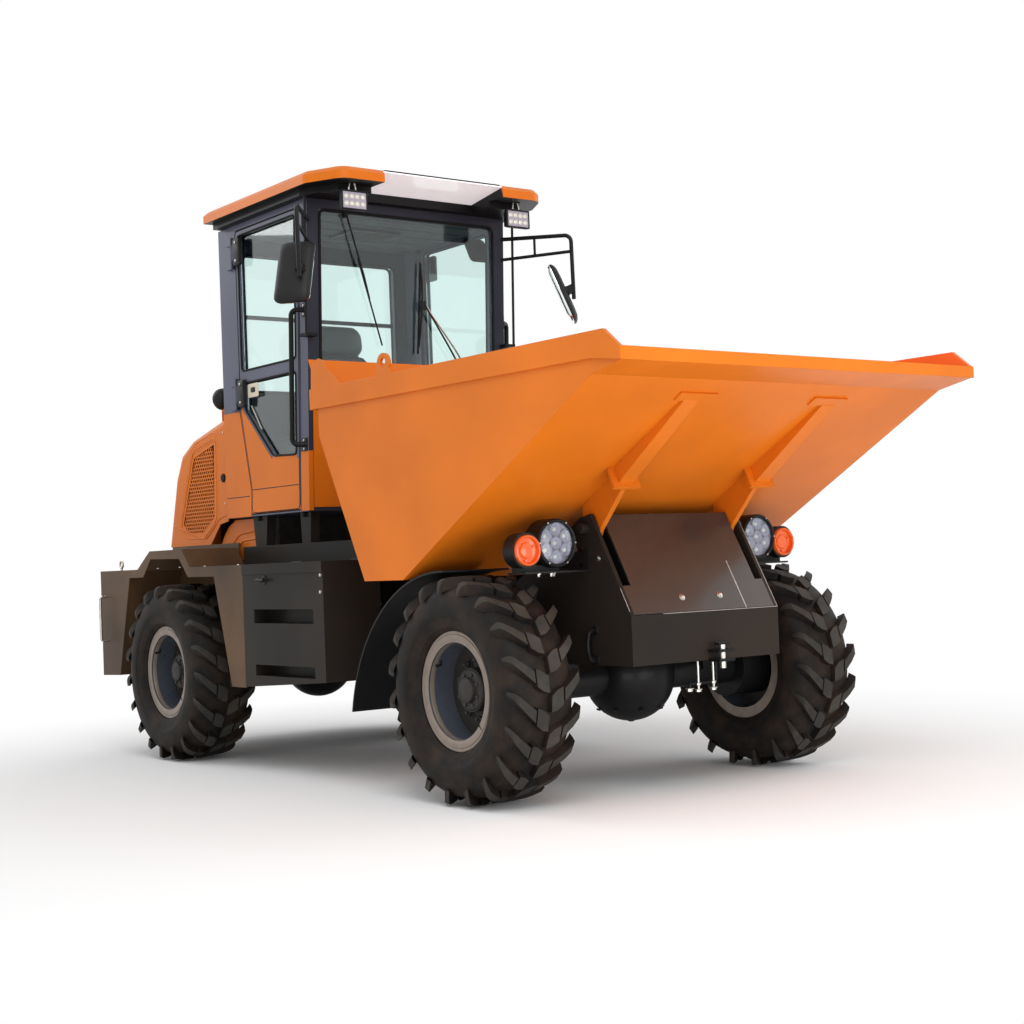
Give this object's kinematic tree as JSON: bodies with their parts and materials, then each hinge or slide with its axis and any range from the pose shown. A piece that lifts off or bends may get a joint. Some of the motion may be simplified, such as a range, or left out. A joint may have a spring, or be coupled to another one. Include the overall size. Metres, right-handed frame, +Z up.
{
  "type": "cabbed articulated front-tipping site dumper",
  "caption": "Articulated site dumper with a closed cab, engine at the rear and a front-tipping skip on four tractor-tread wheels.",
  "frame": {"origin": "on the ground under the middle of the whole machine's length and width", "axes": "+X forward towards the skip's lip, +Y to the driver's left, +Z up"},
  "size_m": [4.895, 2.012, 3.012],
  "materials": {
    "amber_lens": "gloss",
    "black_paint": "satin",
    "black_plastic": "satin",
    "cab_paint": "satin",
    "cast_metal": "rough",
    "charcoal_paint": "gloss",
    "chrome_rod": "polished",
    "clear_plastic": "clear",
    "lamp_lens": "clear",
    "orange_paint": "gloss",
    "plated_steel": "satin",
    "red_lens": "gloss",
    "rim_paint": "satin",
    "roof_plastic": "gloss",
    "rubber_tread": "matte",
    "seat_vinyl": "satin",
    "tinted_glass": "clear"
  },
  "bodies": {
    "rear_frame": {"rear_chassis": "black_paint", "rear_axle": "black_paint", "rear_bodywork": "charcoal_paint", "cab_platform": "charcoal_paint", "step_boxes": "charcoal_paint", "engine_block": "cast_metal", "radiator": "black_paint", "cab_frame": "cab_paint", "cab_panels": "orange_paint", "cab_glass": "tinted_glass", "cab_roof": "roof_plastic", "roof_skylight": "clear_plastic", "seat_base": "black_paint", "seat_cushion": "seat_vinyl", "seat_backrest": "seat_vinyl", "consoles": "black_plastic", "steering_wheel": "black_plastic", "work_lamps": "black_plastic", "mirror_arms": "black_paint", "mirror_heads": "black_plastic", "grab_rails": "black_paint", "rear_fittings": "plated_steel", "tail_lamps": "red_lens"},
    "front_frame": {"front_chassis": "charcoal_paint", "nose_cover": "charcoal_paint", "front_axle": "black_paint", "front_mudguards": "black_paint", "headlamp_housings": "black_plastic", "headlamp_lenses": "lamp_lens", "indicator_lenses": "amber_lens", "tow_hitch": "plated_steel"},
    "skip": {"skip_tub": "orange_paint", "skip_rim": "orange_paint", "skip_arms": "orange_paint"},
    "wheel_front_left": {"tyre_front_left": "rubber_tread", "rim_front_left": "rim_paint"},
    "wheel_front_right": {"tyre_front_right": "rubber_tread", "rim_front_right": "rim_paint"},
    "wheel_rear_left": {"tyre_rear_left": "rubber_tread", "rim_rear_left": "rim_paint"},
    "wheel_rear_right": {"tyre_rear_right": "rubber_tread", "rim_rear_right": "rim_paint"},
    "door_left": {"door_left_frame": "cab_paint", "door_left_glass": "tinted_glass"},
    "door_right": {"door_right_frame": "cab_paint", "door_right_glass": "tinted_glass"},
    "engine_hood": {"engine_hood": "orange_paint", "hood_grilles": "orange_paint", "rear_work_lamps": "black_plastic"},
    "box_lid_left": {"box_lid_left": "charcoal_paint"},
    "box_lid_right": {"box_lid_right": "charcoal_paint"},
    "tip_barrel": {"tip_ram_barrel": "black_paint"},
    "tip_rod": {"tip_ram_rod": "chrome_rod"},
    "steer_barrel_left": {"steer_ram_barrel_left": "black_paint"},
    "steer_barrel_right": {"steer_ram_barrel_right": "black_paint"},
    "steer_rod_left": {"steer_ram_rod_left": "chrome_rod"},
    "steer_rod_right": {"steer_ram_rod_right": "chrome_rod"}
  },
  "joints": [
    {"name": "steer", "type": "hinge", "parent": "rear_frame", "child": "front_frame", "pos_m": [-0.1255, 0, 0.66], "axis": [0, 0, 1], "range_deg": [-28, 28]},
    {"name": "skip_tip", "type": "hinge", "parent": "front_frame", "child": "skip", "pos_m": [1.5125, 0, 1.14], "axis": [0, 1, 0], "range_deg": [0, 65]},
    {"name": "wheel_front_left_spin", "type": "hinge", "parent": "front_frame", "child": "wheel_front_left", "pos_m": [1.2545, 0.826, 0.48], "axis": [0, 1, 0], "continuous": true},
    {"name": "wheel_front_right_spin", "type": "hinge", "parent": "front_frame", "child": "wheel_front_right", "pos_m": [1.2545, -0.826, 0.48], "axis": [0, 1, 0], "continuous": true},
    {"name": "wheel_rear_left_spin", "type": "hinge", "parent": "rear_frame", "child": "wheel_rear_left", "pos_m": [-1.5095, 0.826, 0.48], "axis": [0, 1, 0], "continuous": true},
    {"name": "wheel_rear_right_spin", "type": "hinge", "parent": "rear_frame", "child": "wheel_rear_right", "pos_m": [-1.5095, -0.826, 0.48], "axis": [0, 1, 0], "continuous": true},
    {"name": "door_left_swing", "type": "hinge", "parent": "rear_frame", "child": "door_left", "pos_m": [-1.1855, 0.643, 2], "axis": [0, 0, 1], "range_deg": [0, 75]},
    {"name": "door_right_swing", "type": "hinge", "parent": "rear_frame", "child": "door_right", "pos_m": [-1.1855, -0.643, 2], "axis": [0, 0, -1], "range_deg": [0, 75]},
    {"name": "engine_hood_lift", "type": "hinge", "parent": "rear_frame", "child": "engine_hood", "pos_m": [-2.1855, 0, 1.15], "axis": [0, -1, 0], "range_deg": [0, 50]},
    {"name": "box_lid_left_lift", "type": "hinge", "parent": "rear_frame", "child": "box_lid_left", "pos_m": [-0.2455, 0.67, 1.052], "axis": [-1, 0, 0], "range_deg": [-70, 0]},
    {"name": "box_lid_right_lift", "type": "hinge", "parent": "rear_frame", "child": "box_lid_right", "pos_m": [-0.2455, -0.67, 1.052], "axis": [-1, 0, 0], "range_deg": [0, 70]},
    {"name": "tip_ram_swing", "type": "hinge", "parent": "front_frame", "child": "tip_barrel", "pos_m": [1.0045, 0, 0.69], "axis": [0, -1, 0], "range_deg": [-0.5, 4.15]},
    {"name": "tip_ram_slide", "type": "slide", "parent": "tip_barrel", "child": "tip_rod", "axis": [0.5939, 0, 0.8046], "range_m": [-0.001, 0.2126]},
    {"name": "steer_ram_left_swing", "type": "hinge", "parent": "rear_frame", "child": "steer_barrel_left", "pos_m": [-0.5755, 0.25, 0.62], "axis": [0, 0, 1], "range_deg": [-8.16, 8.16]},
    {"name": "steer_ram_left_slide", "type": "slide", "parent": "steer_barrel_left", "child": "steer_rod_left", "axis": [0.9965, 0.083, 0], "range_m": [-0.1388, 0.1388]},
    {"name": "steer_ram_right_swing", "type": "hinge", "parent": "rear_frame", "child": "steer_barrel_right", "pos_m": [-0.5755, -0.25, 0.62], "axis": [0, 0, 1], "range_deg": [-8.16, 8.16]},
    {"name": "steer_ram_right_slide", "type": "slide", "parent": "steer_barrel_right", "child": "steer_rod_right", "axis": [0.9965, -0.083, 0], "range_m": [-0.1388, 0.1388]}
  ],
  "couplings": [
    {"joint": "tip_ram_swing", "follows": "skip_tip", "ratio": 0.056212},
    {"joint": "tip_ram_slide", "follows": "skip_tip", "m_per_rad": 0.18648},
    {"joint": "steer_ram_left_swing", "follows": "steer", "ratio": 0.27364},
    {"joint": "steer_ram_left_slide", "follows": "steer", "m_per_rad": -0.28203},
    {"joint": "steer_ram_right_swing", "follows": "steer", "ratio": 0.27364},
    {"joint": "steer_ram_right_slide", "follows": "steer", "m_per_rad": 0.28203}
  ]
}
